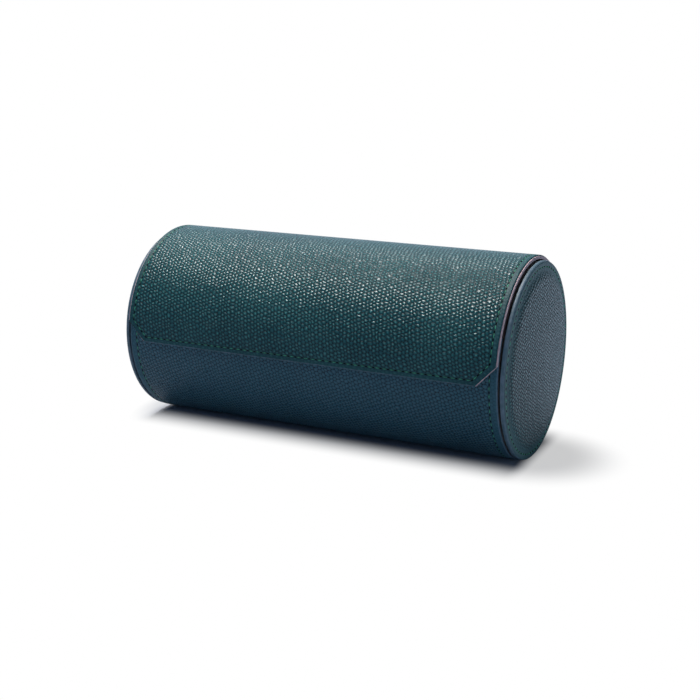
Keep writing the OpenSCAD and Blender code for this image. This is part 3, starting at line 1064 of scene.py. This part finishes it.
def make_cap_skin(context, side):
    """One cap's leather: domed face, stitched ring, rounded rim, turned in behind."""
    sizes = context.scene.case_sizes
    skin = trace([Vector((side * (CAP_X + height), 0, AXIS_H + radius))
                  for height, radius in cap_profile(sizes)])
    with editing(skin):
        bpy.ops.mesh.spin(steps=CAP_SIDES, angle=2 * math.pi, center=(0, 0, AXIS_H),
                          axis=(1, 0, 0))
        bpy.ops.mesh.select_all(action="SELECT")
        bpy.ops.mesh.remove_doubles(threshold=TINY / 4)
        bpy.ops.mesh.normals_make_consistent(inside=False)
    face = max(skin.data.polygons, key=lambda polygon: side * polygon.center.x)
    if face.normal.x * side < 0:
        with editing(skin):
            bpy.ops.mesh.flip_normals()
    for vertex in skin.data.vertices:
        vertex.co.z = max(vertex.co.z, CASE_R - CAP_R)
    write_map(skin, lambda co: (side * co.y, co.z), lambda co: (
        max(CAP_R - radius_at(co), 0) if abs(co.x) > CAP_X + 1 * MM else 0))
    apply_modifier(skin, "SOLIDIFY", thickness=sizes.cap_leather, offset=-1, use_even_offset=True)
    stand_in(skin, f"cap_skin_{SIDES[side]}", cap_leather(context), "cap_leather", "case",
             f"cap_leather_{SIDES[side]}")


def make_cap_stitching(context, side):
    """The ring of threads and needle holes on one cap."""
    sizes, finish = case_settings(context)
    ring_r = CAP_R - sizes.cap_seam_in
    count = round(2 * math.pi * ring_r / sizes.stitch_pitch)
    step = 2 * math.pi / count
    surface_x = side * (CAP_X + sizes.cap_rim - sizes.cap_seam_dip / 2)
    for kind, seed_of, look, at_holes in stitching_kinds(finish):
        ring = seed_of(sizes)
        ring.rotation_euler = (0, 0, side * math.pi / 2)
        ring.location = (surface_x, 0, AXIS_H + ring_r)
        apply_place()
        with editing(ring):
            bpy.ops.transform.rotate(value=at_holes * step / 2, orient_axis="X",
                                     center_override=(0, 0, AXIS_H))
            bpy.ops.mesh.spin(steps=count - 1, dupli=True, angle=step * (count - 1),
                              center=(0, 0, AXIS_H), axis=(1, 0, 0))
        dress(finish_mesh(ring, f"cap_{kind}_{SIDES[side]}", FINE_SMOOTH), look)
        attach(ring, "case")


# ---- Cushions ----


PILLOW = 2.3  # how square the cushion's section is: 2 is an ellipse
CUSHION_SIDES = 48
SEAT_GAP = 0.3 * MM  # between a cushion and the trough
SLACK = 0.8 * MM  # how much smaller the cover is before it is filled
END_ANGLES = (80, 62, 40, 20)  # where the domed ends have rings, in degrees from their seams
BAND_SHARES = (-1, -0.8, -0.5, -0.2, 0.2, 0.5, 0.8, 1)  # where the band has rings
CLOTH_VOXEL = 1.5 * MM
CLOTH_SCALE = 10  # size at which the cloth is simulated
CLOTH_STEPS = 20
CLOTH_PRESSURE = 4
HELD = 1.3 * MM  # how near a seam the cloth is held
FILL_LIMIT = 1.3 * MM  # how far the filling may move a point


def cushion_outline(inset):
    """The cushion's section as points of y and z, pressed in where it would reach the trough."""
    low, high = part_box("cushion_cover_middle")
    half_y, half_z = (high.y - low.y) / 2, (high.z - low.z) / 2
    middle = (low.z + high.z) / 2
    seat = TROUGH_R - SEAT_GAP - inset
    points = []
    for step in range(CUSHION_SIDES):
        angle = 2 * math.pi * step / CUSHION_SIDES
        across, up = (math.copysign(abs(part) ** (2 / PILLOW), part)
                      for part in (math.cos(angle), math.sin(angle)))
        y, z = (half_y - inset) * across, (half_z - inset) * up + middle
        press = min(seat / math.hypot(y, z - AXIS_H), 1)
        points.append((y * press, AXIS_H + (z - AXIS_H) * press))
    return points, middle


def cushion_form(sizes):
    """The middle cushion before it is filled: a drawn-in band with two domed ends."""
    band = half_span("cushion_foam_middle", X)
    bulge = half_span("cushion_ends_middle", X) - band
    draw = sizes.cushion_draw / half_span("cushion_cover_middle", Y)
    outline, middle = cushion_outline(SLACK)
    domed = [(-band - bulge * math.sin(angle), (1 - draw) * math.cos(angle))
             for angle in map(math.radians, END_ANGLES)]
    stations = [*domed, *((band * share, 1 - draw * abs(share) ** 3) for share in BAND_SHARES),
                *((-x, scale) for x, scale in reversed(domed))]
    x, scale = stations[0]
    form = trace([Vector((x, y * scale, middle + (z - middle) * scale)) for y, z in outline])
    with editing(form):
        bpy.ops.mesh.edge_face_add()
        for (x0, scale0), (x1, scale1) in zip(stations, stations[1:]):
            bpy.ops.mesh.extrude_region_move(TRANSFORM_OT_translate={"value": (x1 - x0, 0, 0)})
            ratio = scale1 / scale0
            bpy.ops.transform.resize(value=(1, ratio, ratio), center_override=(x1, 0, middle))
        bpy.ops.mesh.select_all(action="SELECT")
        bpy.ops.mesh.normals_make_consistent(inside=False)
    return form, band


def resize(obj, scale):
    """Makes a piece this many times as large, from the middle of the scene."""
    with editing(obj):
        bpy.ops.transform.resize(value=(scale,) * 3, center_override=(0, 0, 0))


def fill_cushion(form, band):
    """Fills the cover by cloth simulation, with its seams held."""
    start = [vertex.co.copy() for vertex in form.data.vertices]
    held = form.vertex_groups.new(name="seams")
    held.add([index for index, co in enumerate(start) if abs(abs(co.x) - band) < HELD],
             1, "REPLACE")
    resize(form, CLOTH_SCALE)
    take_up(form)
    bpy.ops.object.modifier_add(type="CLOTH")
    cloth = form.modifiers[-1]
    cloth.settings.use_pressure = True
    cloth.settings.uniform_pressure_force = CLOTH_PRESSURE
    cloth.settings.vertex_group_mass = held.name
    cloth.settings.effector_weights.gravity = 0
    for step in range(CLOTH_STEPS):
        bpy.context.scene.frame_set(step + 1)
    bpy.ops.object.modifier_apply(modifier=cloth.name)
    bpy.context.scene.frame_set(1)
    resize(form, 1 / CLOTH_SCALE)
    for vertex, before in zip(form.data.vertices, start):
        move = vertex.co - before
        if move.length > FILL_LIMIT:
            vertex.co = before + move * (FILL_LIMIT / move.length)


def seam_cushion(cushion, band, depth):
    """Cuts the two end seams into a filled cushion and draws them in."""
    with editing(cushion):
        for side in SIDES:
            for wings in (-2, -1, 0, 1, 2):
                bpy.ops.mesh.select_all(action="SELECT")
                bpy.ops.mesh.bisect(plane_co=(side * band + wings * SEAM_WING, 0, 0),
                                    plane_no=(1, 0, 0))
        for off_seam, share in ((0, 1), (SEAM_WING, 0.35)):
            pick(cushion, "VERT", lambda vertex: (
                abs(abs(abs(vertex.co.x) - band) - off_seam) < TINY))
            bpy.ops.transform.shrink_fatten(value=-depth * share)


def make_cushions(context):
    """Three cushions, one for each watch, from one filled cover."""
    sizes, finish = case_settings(context)
    form, band = cushion_form(sizes)
    form.data.remesh_voxel_size = CLOTH_VOXEL
    take_up(form)
    bpy.ops.object.voxel_remesh()
    fill_cushion(form, band)
    apply_modifier(form, "SUBSURF", levels=1, render_levels=1)
    seam_cushion(form, band, sizes.cushion_seam)
    look = material("cushion_nap", suede, finish.suede, finish.suede)
    for place, word in PLACES.items():
        cushion = copy_of(form)
        cushion.location = (place * BAY_PITCH, 0, 0)
        write_map(cushion, lambda co: (co.x, co.z))
        stand_in(cushion, f"cushion_{word}", look, "cushion_suede", f"cushion_{word}",
                 f"cushion_foam_{word}", f"cushion_cover_{word}", f"cushion_ends_{word}",
                 smooth=FINE_SMOOTH)
    scrap(form)


# ---- Inner pieces that stay as the frame has them ----


def dress_inner_pieces(context):
    """Gives the frame's own boards, foam and magnets their materials."""
    finish = context.scene.case_finish
    card = material("card", grey_card, finish)
    looks = {"board": card, "spacer": card, "foam": material("open_foam", open_foam, finish),
             "magnets": material("magnet_plating", plated_steel, finish)}
    for name, node in frame["nodes"].items():
        for word, look in looks.items():
            if word in name:
                for slot in node.material_slots:
                    slot.material = look


# ---- Stage ----


CAMERA_AIM = Vector((0, 0, AXIS_H))
AZIMUTH, ELEVATION, DISTANCE = math.radians(26.4), math.radians(14.43), 0.612
LAMPS = {  # place, aim, size, watts and tint
    "overhead": ((-0.3, 0.15, 1.0), (0, 0, 0.05), (0.34, 0.26), 9.8, (1.0, 0.99, 0.97)),
    "front_high": ((-0.5, -0.62, 1.0), (0, 0, 0.05), (0.12, 0.1), 1.4, (0.97, 0.99, 1.0)),
    "right_fill": ((1.1, -0.25, 0.22), (0.1, 0, 0.04), (0.4, 0.36), 2.0, (0.6, 0.8, 1.0)),
    "front_fill": ((-0.5, -1.12, 0.52), (0, 0, 0.05), (0.9, 0.4), 1.5, (0.3, 0.55, 1.0)),
}
BACKDROP_WAY = (-0.6, 0.8, 0)  # from the case to the middle of the backdrop
BACKDROP_EDGE = (0.5, 0.92)  # cosines between which the backdrop grows to full white
ROOM = (0.048, 0.054, 0.06)
# The floor's shadow is partly painted: this shape decides where the paper turns from white to grey,
# and there the lamps' own shadow shows too.
SHADOW_REACH = (16 * MM, 44 * MM)  # across the case, from full shadow to none
END_FALL = (2.4, 0.9)  # how much faster the shadow ends past the left cap and the right one
END_SHADOW = 0.42  # share of the shadow that is left past a cap
MIRRORED_BY_CAP = 0.5  # share of white that the right cap mirrors from the floor beside it


def make_camera():
    """The camera at the photograph's angle."""
    away = Vector((math.sin(AZIMUTH) * math.cos(ELEVATION),
                   -math.cos(AZIMUTH) * math.cos(ELEVATION), math.sin(ELEVATION)))
    bpy.ops.object.camera_add(location=CAMERA_AIM + DISTANCE * away,
                              rotation=(math.pi / 2 - ELEVATION, 0, AZIMUTH))
    camera = bpy.context.active_object
    camera.data.sensor_width = 36
    camera.data.lens = 63.89
    camera.data.shift_x = 0.00663
    camera.data.shift_y = -0.01866
    bpy.context.scene.camera = camera


def make_softbox(name, place, aim, size, power, tint):
    """A soft lamp at one place, turned to another."""
    place, aim = Vector(place), Vector(aim)
    bpy.ops.object.light_add(type="AREA", location=place,
                             rotation=(aim - place).to_track_quat("-Z", "Y").to_euler())
    lamp = bpy.context.active_object
    lamp.name = name
    lamp.data.shape = "RECTANGLE"
    lamp.data.size, lamp.data.size_y = size
    lamp.data.energy = power
    lamp.data.color = tint


def make_lights():
    """Softboxes overhead and high in front, with cool fills to the right and in front."""
    for name, lamp in LAMPS.items():
        make_softbox(name, *lamp)


def make_world():
    """A white backdrop behind the case, in a dim room that lights it only a little."""
    weave = Weave(bpy.data.worlds.new("studio"))
    way = weave.node("ShaderNodeTexCoord").outputs["Generated"]
    behind = weave.ramp(weave.vector("DOT_PRODUCT", way, BACKDROP_WAY, output="Value"),
                        *BACKDROP_EDGE)
    weave.surface(Color=weave.blend(weave.seen(behind), ROOM, weave.studio_white()))
    bpy.context.scene.world = weave.owner


def white_paper(weave, grey):
    """White paper that keeps the case's shadow on its grey inside a painted shadow shape round the
    case, and clears to white away from it.
    """
    place = weave.node("ShaderNodeSeparateXYZ", {0: weave.object_place()}).outputs
    along, across = (weave.maths("ABSOLUTE", place[axis]) for axis in "XY")
    past_end = weave.maths("MAXIMUM", weave.maths("SUBTRACT", along, CAP_X), 0.0)
    beyond = weave.times(past_end, weave.ramp(place["X"], -CAP_X, CAP_X, *END_FALL))
    away = weave.maths("SQRT", weave.maths("ADD", weave.maths("POWER", beyond, 2.0),
                                           weave.maths("POWER", across, 2.0)))
    shadow = weave.times(
        weave.ramp(away, *SHADOW_REACH, 1.0, 0.0),
        weave.ramp(along, CAP_X - 2 * MM, CAP_TOP_X + 3 * MM, 1.0, END_SHADOW))
    at_back = weave.ramp(place["Y"], 20 * MM, 120 * MM)
    by_cap = weave.times(
        weave.ramp(place["X"], CAP_X, CAP_TOP_X + 10 * MM),
        weave.ramp(place["X"], CAP_TOP_X + 20 * MM, CAP_TOP_X + 50 * MM, MIRRORED_BY_CAP, 0.0))
    white = weave.times(weave.maths("SUBTRACT", 1.0, shadow),
                        weave.seen(weave.maths("MAXIMUM", at_back, by_cap)))
    weave.surface(
        Base_Color=weave.blend(white, grey, (0, 0, 0)),
        Emission_Color=weave.studio_white(),
        Emission_Strength=white,
        Roughness=1.0,
        Specular_IOR_Level=0.0,
    )


def make_floor(context):
    """The white floor."""
    floor = added(bpy.ops.mesh.primitive_plane_add, size=8)
    floor.name = "floor"
    grey = context.scene.case_finish.floor
    floor.data.materials.append(material("white_paper", white_paper, grey))


# ---- Operators ----


class CASE_OT_stage(Operator):
    """Adds the camera, the lamps, the surround and the floor"""

    bl_idname = "case.stage"
    bl_label = "Stage"

    def execute(self, context):
        context.scene.view_settings.view_transform = "Standard"
        make_camera()
        make_lights()
        make_world()
        make_floor(context)
        return {"FINISHED"}


class CASE_OT_lid(Operator):
    """Adds the lid's leather with the back panel, and its suede lining"""

    bl_idname = "case.lid"
    bl_label = "Lid"

    def execute(self, context):
        make_lid_skin(context)
        make_lid_suede(context)
        return {"FINISHED"}


class CASE_OT_body(Operator):
    """Adds the body's leather and the lining of its trough"""

    bl_idname = "case.body"
    bl_label = "Body"

    def execute(self, context):
        make_body_skin(context)
        make_body_suede(context)
        return {"FINISHED"}


class CASE_OT_walls(Operator):
    """Adds the suede over the end walls and the dividers"""

    bl_idname = "case.walls"
    bl_label = "Walls and dividers"

    def execute(self, context):
        for side in SIDES:
            make_wall_suede(context, side)
            make_divider(context, side)
        return {"FINISHED"}


class CASE_OT_caps(Operator):
    """Adds the padded leather caps"""

    bl_idname = "case.caps"
    bl_label = "Caps"

    def execute(self, context):
        for side in SIDES:
            make_cap_skin(context, side)
        return {"FINISHED"}


class CASE_OT_stitching(Operator):
    """Adds the threads and needle holes of the lid, the body and the caps"""

    bl_idname = "case.stitching"
    bl_label = "Stitching"

    def execute(self, context):
        make_lid_stitching(context)
        make_body_stitching(context)
        for side in SIDES:
            make_cap_stitching(context, side)
        return {"FINISHED"}


class CASE_OT_cushions(Operator):
    """Adds the three padded cushions"""

    bl_idname = "case.cushions"
    bl_label = "Cushions"

    def execute(self, context):
        make_cushions(context)
        return {"FINISHED"}


class CASE_OT_inner_pieces(Operator):
    """Gives the boards, foam and magnets their materials"""

    bl_idname = "case.inner_pieces"
    bl_label = "Boards, foam and magnets"

    def execute(self, context):
        dress_inner_pieces(context)
        return {"FINISHED"}


STEPS = (CASE_OT_stage, CASE_OT_lid, CASE_OT_body, CASE_OT_walls, CASE_OT_caps, CASE_OT_stitching,
         CASE_OT_cushions, CASE_OT_inner_pieces)


class CASE_PT_panel(Panel):
    """Lists the pieces and their settings"""

    bl_idname = "CASE_PT_panel"
    bl_label = "Watch travel case"
    bl_space_type = "VIEW_3D"
    bl_region_type = "UI"
    bl_category = "Case"

    def draw(self, context):
        for step in STEPS:
            self.layout.operator(step.bl_idname)
        for group in case_settings(context):
            box = self.layout.box()
            for name in group.__annotations__:
                box.prop(group, name)


CLASSES = (CaseSizes, CaseFinish, *STEPS, CASE_PT_panel)


def register():
    """Makes the settings, the operators and the panel known to Blender."""
    for cls in CLASSES:
        bpy.utils.register_class(cls)
    bpy.types.Scene.case_sizes = PointerProperty(type=CaseSizes)
    bpy.types.Scene.case_finish = PointerProperty(type=CaseFinish)


def unregister():
    """Takes them away again."""
    del bpy.types.Scene.case_finish
    del bpy.types.Scene.case_sizes
    for cls in reversed(CLASSES):
        bpy.utils.unregister_class(cls)


def main():
    """Builds the whole scene."""
    register()
    bpy.ops.case.stage()
    bpy.ops.case.lid()
    bpy.ops.case.body()
    bpy.ops.case.walls()
    bpy.ops.case.caps()
    bpy.ops.case.stitching()
    bpy.ops.case.cushions()
    bpy.ops.case.inner_pieces()


if __name__ == "__main__":
    main()
